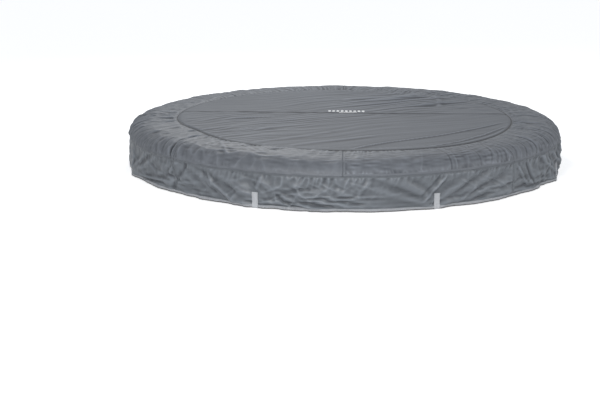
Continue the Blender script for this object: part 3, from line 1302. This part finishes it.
def stitches(points):
    """A stitch between each point and the next."""
    return [rod([start + (end - start) * t for t in (0.06, 0.35, 0.65, 0.94)],
                [0.00022, 0.00042, 0.00042, 0.00022], 5)
            for start, end in zip(points[:-1], points[1:])]


def tab_stitches(tab):
    """A box of stitches at the upper end and a bar just over the hem."""
    corners = np.array([(-0.015, 0.006), (0.015, 0.006), (0.015, 0.034), (-0.015, 0.034),
                        (-0.015, 0.006)])
    box = np.array([start + (end - start) * t for start, end in zip(corners[:-1], corners[1:])
                    for t in np.linspace(0, 1, 9)[:-1]])
    box = shell_points(tab + np.degrees(box[:, 0] / TAB_R), TAB_TOP + box[:, 1], True, 0.0020)
    bar = shell_points(tab + np.degrees(np.linspace(-0.016, 0.016, 13) / TAB_R),
                       HEM - 0.024, True, 0.0022)
    return stitches(np.concatenate([box, box[:1]])) + stitches(bar)


piece("hem_tabs", join([tab_sheet(tab) for tab in TAB_AT]), light_webbing,
      "cover", "tab_webbing", "webbing_tabs")
piece("tab_stitching", join([stitch for tab in TAB_AT for stitch in tab_stitches(tab)]),
      light_thread, "cover", "tab_webbing")

# ---------------------------------------------------------------- drawcord and its tails
LOCK_PHI = -135.0                       # the cord lock is at the back left
lock_lo, lock_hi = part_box("cord_lock_barrel")
LOCK_R = math.hypot((lock_lo.x + lock_hi.x) / 2, (lock_lo.y + lock_hi.y) / 2)
CORD_GAP = 2.6                          # degrees from the lock to where the cord leaves the hem
lock_out, lock_aside = outward(LOCK_PHI), outward(LOCK_PHI + 90)


def tail_path(first, side):
    """From the hem through the lock to the end; side is +1 towards larger azimuth."""
    hem_r = float(first @ lock_out)
    # (radius, distance aside, height)
    stations = [
        (hem_r + 0.0035, 0.036, first[2] - 0.0003), (hem_r + 0.010, 0.015, 0.0085),
        (LOCK_R - 0.024, 0.0055, 0.0130), (LOCK_R - 0.013, 0.0036, 0.0170),
        (LOCK_R + 0.010, 0.0036, 0.0170), (LOCK_R + 0.030, 0.0036, 0.0168),
        (LOCK_R + 0.0455, 0.0040, 0.0168)]
    knots = np.array([first] + [lock_out * radius + lock_aside * side * aside + [0, 0, z]
                                for radius, aside, z in stations])
    knots = np.concatenate([[2 * knots[0] - knots[1]], knots, [2 * knots[-1] - knots[-2]]])
    points = [np.dot(catmull_rom(t), knots[i - 1:i + 3]) for i in range(1, len(knots) - 2)
              for t in np.linspace(0, 1, 12, endpoint=False)]
    return np.array(points + [knots[-2]])


def cord_knot(end):
    """A short winding round the end of a tail."""
    t = np.linspace(0, 1, 60)
    angle = 2 * math.pi * 2.2 * t
    radius = 0.0030 * np.sin(np.pi * t) ** 0.4
    centre = end + lock_out * 0.0015 + np.outer(t - 0.5, lock_out) * 0.0060
    return rod(centre + np.outer(np.cos(angle) * radius, lock_aside)
               + np.outer(np.sin(angle) * radius, [0, 0, 1.0]), 0.0021, 8)


def drawcord():
    line = cord_points(wrap_deg(
        np.linspace(LOCK_PHI + CORD_GAP, LOCK_PHI + 360 - CORD_GAP, 1500)))
    last_tail, first_tail = tail_path(line[-1], -1), tail_path(line[0], 1)
    whole = np.concatenate([first_tail[::-1][:-1], line, last_tail[1:]])
    parts = [rod(whole, 0.0025, 10), cord_knot(last_tail[-1]), cord_knot(first_tail[-1])]
    piece("hem_drawcord", join(parts), cord_braid, "cover", "cord", "drawcord")


drawcord()


# ---------------------------------------------------------------- plain print at the middle seam
def print_patch(x0, x1, y0, y1, cols=10, rows=5):
    """A printed block on the centre, a little narrower at its two ends."""
    x, y = np.meshgrid(np.linspace(x0, x1, cols), np.linspace(y0, y1, rows), indexing="ij")
    middle = (y0 + y1) / 2
    share = np.abs(2 * (x - x0) / (x1 - x0) - 1)
    y = middle + (y - middle) * (1 - 0.25 * share ** 6)
    return sheet(np.stack([x, y, centre_z(x, y) + 0.0006], -1), 0.0004)


BLOCK_X, BLOCK_PITCH, BLOCK_WIDTH = -0.118, 0.0325, 0.021
block_starts = [BLOCK_X + BLOCK_PITCH * i for i in range(9)]
prints = [print_patch(x, x + BLOCK_WIDTH, SEAM_Y + 0.047, SEAM_Y + 0.116) for x in block_starts]
prints.append(print_patch(-0.035, 0.105, SEAM_Y + 0.024, SEAM_Y + 0.034, 24, 3))
piece("plain_block_print", join(prints), white_print, "cover", "cover_fabric")

# ---------------------------------------------------------------- springs
SPRINGS = 64
SPRING_STEP = 360.0 / SPRINGS
spring_angles = [SPRING_STEP * k + SPRING_STEP / 2 for k in range(SPRINGS)]
WIRE_R, COIL_R = 0.0016, 0.0109
TURNS, TURN_POINTS = 38, 10
HOOK_START, COIL_START, COIL_END, HOOK_END = 1.3225, 1.3356, 1.4584, 1.4690


def spring_path():
    """One spring along +X: mat hook, widening turn, coil, narrowing turn, rail hook."""
    angle = np.radians(np.linspace(250, 45, 10))
    points = [(1.312 + 0.005 * np.cos(a), 0.0, 0.005 * np.sin(a)) for a in angle]
    shares = np.linspace(0, 1, 12)
    # (x, radius, degrees) along the winding
    winding = [(HOOK_START + (COIL_START - HOOK_START) * t,
                0.0035 + (COIL_R - 0.0035) * smooth(0, 1, t), 270 + 360 * t) for t in shares]
    winding += [(COIL_START + (COIL_END - COIL_START) * i / (TURNS * TURN_POINTS), COIL_R,
                 270 + 360 + 360.0 * i / TURN_POINTS) for i in range(1, TURNS * TURN_POINTS + 1)]
    winding += [(COIL_END + (HOOK_END - COIL_END) * t,
                 COIL_R - (COIL_R - 0.0031) * smooth(0, 1, t),
                 270 + 360 * (1 + TURNS) + 360 * t) for t in shares[1:]]
    points += [(x, radius * math.cos(math.radians(a)), radius * math.sin(math.radians(a)))
               for x, radius, a in winding]
    hook_x, hook_z, hook_r = 1.487, RAIL_Z + 0.018 - MAT_Z, 0.007
    points += [(hook_x + hook_r * math.cos(a), 0.0, hook_z + hook_r * math.sin(a))
               for a in np.radians(np.linspace(135, 0, 8))]
    points += [(hook_x + hook_r, 0.0, hook_z - drop) for drop in (0.005, 0.010)]
    return np.array(points) + [0, 0, MAT_Z]


spring = rod(spring_path(), WIRE_R, 6)
for quarter in range(4):
    ob = blended("spring_set_%d" % (quarter + 1),
                 copies(spring, spring_angles[16 * quarter:16 * quarter + 16]), spring_wire)
    if quarter == 0:
        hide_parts("springs")


# ---------------------------------------------------------------- jumping mat
def jumping_mat():
    """The woven disc, with shallow waves between its spring loops."""
    count = 640
    radii = np.concatenate([[0.012], np.linspace(0.05, 1.16, 24),
                            np.linspace(1.18, mat_hi.x - 0.001, 22)])
    angle, radius = np.meshgrid(np.linspace(0, 360, count, endpoint=False), radii,
                                indexing="ij")
    wave = (0.0007 * np.cos(np.radians(angle - SPRING_STEP / 2) * SPRINGS)
            * smooth(1.05, 1.27, radius)
            + 0.0006 * turn_noise(angle, 12, radius / 0.3, 201) * smooth(0.05, 0.3, radius))
    z = np.minimum(MAT_Z + 0.0006 + wave * (1 - smooth(1.262, 1.274, radius)), mat_hi.z)
    vertices, (quads,) = sheet(turned(radius, angle, z), 0.0014, wrap=True)
    # the sheet's inner rim gives way to a face above and a face below
    size = len(radii)
    quads = quads[~np.all(quads % size == 0, axis=1)]
    inner = np.arange(count) * size
    caps = [inner[::-1][None], (inner + count * size)[None]]
    piece("jumping_mat", (vertices, [quads] + caps), mat_weave, "mat", "mat_mesh", "mat_fabric")


band_lo, band_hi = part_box("mat_edge_band")


def edge_webbing():
    inner, outer, low = 1.212, 1.238, band_lo.z
    angle = np.linspace(0, 360, 640, endpoint=False)
    section = [(inner, low), (inner + 0.0004, low + 0.0009), (inner + 0.002, low + 0.0012),
               ((inner + outer) / 2, low + 0.00125), (outer - 0.002, low + 0.0012),
               (outer - 0.0004, low + 0.0009), (outer, low)]
    grid = np.stack([turned(radius, angle, z) for radius, z in section], 1)
    grid[:, 1:-1, 2] += 0.00012 * np.sin(np.radians(angle) * 97)[:, None]
    piece("mat_edge_webbing", sheet(grid, 0.0003, wrap=True), black_webbing,
          "mat", "black_webbing", "mat_edge_band")


def edge_stitching():
    """Two rings of stitches on the edge webbing."""
    count, parts = 760, []
    for radius in (1.2155, 1.2345):
        for i in range(count):
            angle = 360 * (i + np.array([0.12, 0.45, 0.78])) / count
            z = band_hi.z + np.array([-0.0001, 0.0003, -0.0001])
            parts.append(rod(turned(radius, angle, z), [0.0003, 0.0005, 0.0003], 5))
    piece("mat_edge_stitching", join(parts), light_thread, "mat", "black_webbing")


def ring_loops():
    """Webbing loops over the mat's edge, one at each spring."""
    bend_x, bend_r = 1.287, 0.0041
    # (x, height over the mat's middle), along the top, round the bend and back below
    flat = np.linspace(1.2405, 1.272, 7)
    path = [(x, 0.0027) for x in flat] + [(1.279, 0.0034)]
    path += [(bend_x + bend_r * math.cos(a), bend_r * math.sin(a))
             for a in np.radians(np.linspace(90, -90, 13))]
    path += [(1.279, -0.0034)] + [(x, -0.0027) for x in flat[::-1]]
    widths = (-0.0138, -0.0132, -0.0100, -0.0045, 0.0, 0.0045, 0.0100, 0.0132, 0.0138)
    grid = np.array([[(x, y, MAT_Z + z * (0.94 if abs(y) > 0.0135 else 1.0)) for x, z in path]
                     for y in widths])
    piece("ring_loops", copies(sheet(grid, 0.0012, flip=True), spring_angles), black_webbing,
          "mat", "black_webbing", "mat_ring_loops")


def loop_stitching():
    """Two bars of light thread across each loop."""
    low, high, parts = MAT_Z + 0.00275, MAT_Z + 0.0031, []
    ends = np.linspace(-0.011, 0.011, 9)
    for x in (1.2455, 1.2620):
        for y0, y1 in zip(ends[:-1], ends[1:]):
            path = [(x, y0 + 0.0003, low), (x, (y0 + y1) / 2, high), (x, y1 - 0.0003, low)]
            parts.append(rod(path, [0.0003, 0.00045, 0.0003], 4))
    piece("loop_stitching", copies(join(parts), spring_angles), light_thread,
          "mat", "black_webbing")


jumping_mat()
edge_webbing()
edge_stitching()
ring_loops()
loop_stitching()

# ---------------------------------------------------------------- safety pad
PAD_ANGLE = np.linspace(0, 360, 800, endpoint=False)
# top cover: out from the inner edge, up from the underside, weight of the unevenness
PAD_SECTION = [
    (0.0006, 0.0004, 0), (0.0, 0.004, 0), (0.0006, 0.0085, .2), (0.004, 0.0118, .5),
    (0.012, 0.0135, .8), (0.030, 0.0146, 1), (0.055, 0.0152, 1), (0.085, 0.0155, 1),
    (0.115, 0.0155, 1), (0.145, 0.0153, 1), (0.175, 0.0145, 1), (0.200, 0.0130, 1),
    (0.222, 0.0110, .9), (0.240, 0.0082, .7), (0.254, 0.0048, .4), (0.263, 0.0005, .2),
    (0.2675, -0.0060, .1), (0.2688, -0.0140, .3), (0.2690, -0.024, .6), (0.2686, -0.034, .9),
    (0.2684, -0.0465, 1)]
PAD_TOP_ROWS = 16                       # the rows after these hang down the outside
# foam: out from the pad's inner edge, up from the foam's underside
FOAM_THICK = 0.0126
FOAM_SECTION = np.array([
    (0.007, 0), (0.130, 0), (0.247, 0), (0.2495, 0.0010), (0.246, 0.0035), (0.235, 0.0062),
    (0.218, 0.0090), (0.196, FOAM_THICK - 0.0016), (0.165, FOAM_THICK - 0.0004),
    (0.12, FOAM_THICK), (0.055, FOAM_THICK - 0.0004), (0.022, FOAM_THICK - 0.0014),
    (0.009, FOAM_THICK - 0.0034), (0.0055, FOAM_THICK - 0.0065), (0.0055, 0.0012)])


def pad_top_cover():
    """Dips at the eight section joints; the hanging edge is rippled."""
    from_joint = np.abs(wrap_deg((PAD_ANGLE - 22.5) * 8) / 8)
    joint = np.exp(-(from_joint * 0.0245 / 0.012) ** 2)
    lines = []
    for j, (out, up, weight) in enumerate(PAD_SECTION):
        radius, z = PAD_R_IN + out, PAD_Z + up
        if j < PAD_TOP_ROWS:
            z = z + weight * (0.0006 * turn_noise(PAD_ANGLE, 60, 0.1 * j, 211) - 0.0030 * joint)
        else:
            ripple = 0.5 + 0.5 * turn_noise(PAD_ANGLE, 90, 0.04 * j, 212)
            radius = radius - 0.0022 * weight * ripple
        lines.append(turned(radius, PAD_ANGLE, z))
    piece("pad_top_cover", sheet(np.stack(lines, 1), 0.0008, wrap=True), pad_cloth,
          "frame", "pad_pvc", "pad_upper_skin")


def pad_bottom_cover():
    angle = PAD_ANGLE[:, None]
    radius = np.linspace(PAD_R_IN + 0.003, PAD_R_OUT - 0.0045, 9)
    share = (radius - radius[0]) / (radius[-1] - radius[0])
    z = (PAD_Z + 0.0009 - 0.0006 * np.sin(np.pi * share)
         + 0.0002 * turn_noise(angle, 40, radius / 0.05, 213))
    piece("pad_bottom_cover", sheet(turned(radius, angle, z), 0.0006, wrap=True), pad_cloth,
          "frame", "pad_pvc", "pad_lower_skin")


def pad_foam():
    """Eight foam sections with softened ends."""
    section = FOAM_SECTION + (PAD_R_IN, PAD_Z + 0.0016)
    centre = section.mean(0)
    end = np.array([21.60, 21.95, 22.22, 22.36, 22.40])
    rings = []
    for angle in np.concatenate([-end[::-1], np.linspace(-21.2, 21.2, 38), end]):
        height = (1 - 0.42 * (1 - smooth(0.0, 1.2, 22.42 - abs(angle)))
                  - 0.10 * (abs(angle) > 22.38))
        points = centre + (section - centre) * np.array([1 - (1 - height) * 0.01, height])
        rings.append(turned(points[:, 0], angle, points[:, 1]))
    piece("pad_foam_blocks", copies(loft(np.array(rings)), [45.0 * k for k in range(8)]), foam,
          "frame", "pad_foam", "pad_foam_sections")


def pad_straps():
    """Webbing from the pad's underside round the rail."""
    radius, top = 0.0222, PAD_Z - 0.0004
    # (out from the rail's centre line, height) on the outer side, from the top down
    outer = [(radius - 0.0062, top - 0.0002), (radius - 0.0032, top - 0.0034),
             (radius - 0.0010, top - 0.0074)]
    outer += [(radius, z) for z in np.linspace(top - 0.013, RAIL_Z + 0.004, 4)]
    path = outer + [(radius * math.cos(a), RAIL_Z + radius * math.sin(a))
                    for a in np.radians(np.linspace(0, -180, 19))]
    path += [(-out, z) for out, z in outer[3:][::-1] + outer[:3][::-1]]
    widths = (-0.0124, -0.0120, -0.0090, -0.0045, 0.0, 0.0045, 0.0090, 0.0120, 0.0124)
    grid = np.array([[(RAIL_R + out * (0.993 if abs(y) == 0.0124 else 1.0), y, z)
                      for out, z in path] for y in widths])
    angles = [45.0 * k + side * 11.25 for k in range(8) for side in (-1, 1)]
    piece("pad_strap_loops", copies(sheet(grid, 0.0010, flip=True), angles), black_webbing,
          "frame", "black_webbing", "pad_straps")


pad_top_cover()
pad_bottom_cover()
pad_foam()
pad_straps()


# ---------------------------------------------------------------- cord lock spring
def lock_coil():
    """Upright wound wire, fixed at its foot and pressed at its head."""
    foot, head, radius, turns = 0.0042, 0.0122, 0.0042, 4.2
    share = np.linspace(0, 1, 106)
    angle = 2 * math.pi * turns * share
    helix = np.stack([1.614 + radius * np.cos(angle), radius * np.sin(angle),
                      foot + (head - foot) * share], -1)
    ob = blended("lock_coil", copies(rod(helix, 0.00042, 8), [LOCK_PHI - 90.0]), spring_wire)
    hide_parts("cord_lock_spring")


lock_coil()


# ---------------------------------------------------------------- finish of the CAD pieces that stay
def cad_material(name):
    if name.startswith(("top_rail", "tee_socket", "leg_frame")):
        return galvanised
    if name == "foot_pads":
        return rubber
    if name.startswith("cord_lock_spring"):
        return spring_wire
    if name.startswith("cord_lock"):
        return lock_plastic
    return zinc


for name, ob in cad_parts.items():
    if not ob.hide_render:
        ob.data.materials.clear()
        ob.data.materials.append(cad_material(name))

scene.view_settings.view_transform = "Standard"
scene.view_settings.look = "None"
